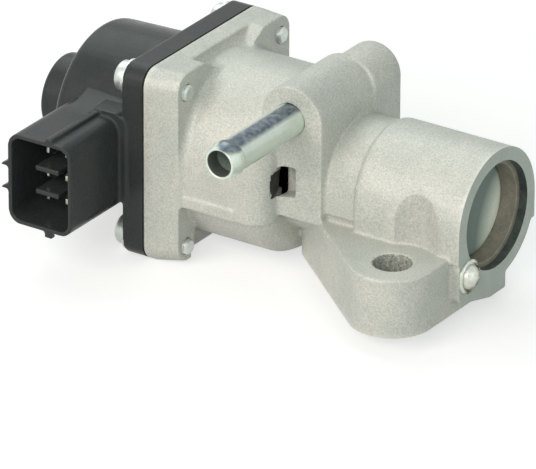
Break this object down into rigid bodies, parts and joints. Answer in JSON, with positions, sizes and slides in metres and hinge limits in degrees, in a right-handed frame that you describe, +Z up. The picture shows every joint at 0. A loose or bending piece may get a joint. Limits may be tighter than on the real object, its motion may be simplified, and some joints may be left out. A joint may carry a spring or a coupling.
{
  "type": "exhaust gas recirculation valve",
  "caption": "Exhaust gas recirculation valve: stepper motor with side connector on a die-cast housing with a coolant nipple, a mounting flange and a bored outlet.",
  "frame": {"origin": "centre of the gas inlet port on the mounting face", "axes": "+X along the valve axis from the motor to the outlet, +Z up, away from the mounting face"},
  "size_m": [0.1218, 0.0785, 0.05],
  "materials": {
    "cast_aluminium": "die cast, fine grain",
    "black_plastic": "moulded, satin",
    "tinned_terminal": "tin plated",
    "zinc_steel": "zinc plated",
    "machined_steel": "turned",
    "stainless": "turned, heat toned",
    "spring_steel": "drawn wire",
    "yoke_steel": "pressed",
    "bobbin_plastic": "moulded",
    "copper_winding": "enamelled wire",
    "ferrite": "sintered",
    "rotor_plastic": "moulded",
    "bearing_steel": "ground",
    "bronze_bush": "sintered",
    "seal_rubber": "moulded",
    "gasket_sheet": "sheet"
  },
  "bodies": {
    "housing": {"valve_housing": "cast_aluminium", "motor_housing": "black_plastic", "connector_pins": "tinned_terminal", "hose_nipple": "zinc_steel", "motor_screws": "zinc_steel", "screw_washers": "zinc_steel", "lock_washers": "zinc_steel", "bore_screw": "machined_steel", "seat_ring": "machined_steel", "return_spring": "spring_steel", "guide_bush": "bronze_bush", "stem_seal": "seal_rubber", "deposit_shield": "yoke_steel", "motor_gasket": "gasket_sheet", "end_plate": "yoke_steel", "wave_washer": "spring_steel", "stator_yoke_front": "yoke_steel", "stator_yoke_rear": "yoke_steel", "bobbin_front": "bobbin_plastic", "bobbin_rear": "bobbin_plastic", "coil_front": "copper_winding", "coil_rear": "copper_winding", "bearing_outer_race": "bearing_steel", "bearing_balls": "bearing_steel", "rear_bush": "bronze_bush"},
    "rotor": {"rotor_magnet": "ferrite", "rotor_nut": "rotor_plastic", "bearing_inner_race": "bearing_steel"},
    "valve": {"lead_screw": "machined_steel", "valve_stem": "stainless", "spring_retainer": "yoke_steel"}
  },
  "joints": [
    {"name": "rotor_spin", "type": "hinge", "parent": "housing", "child": "rotor", "pos_m": [-0.07, 0, 0.0197], "axis": [1, 0, 0], "range_deg": [0, 780]},
    {"name": "valve_lift", "type": "slide", "parent": "housing", "child": "valve", "axis": [1, 0, 0], "range_m": [0, 0.00434], "deforming": ["return_spring"]}
  ],
  "couplings": [
    {"joint": "valve_lift", "follows": "rotor_spin", "m_per_rad": 0.00031831}
  ]
}
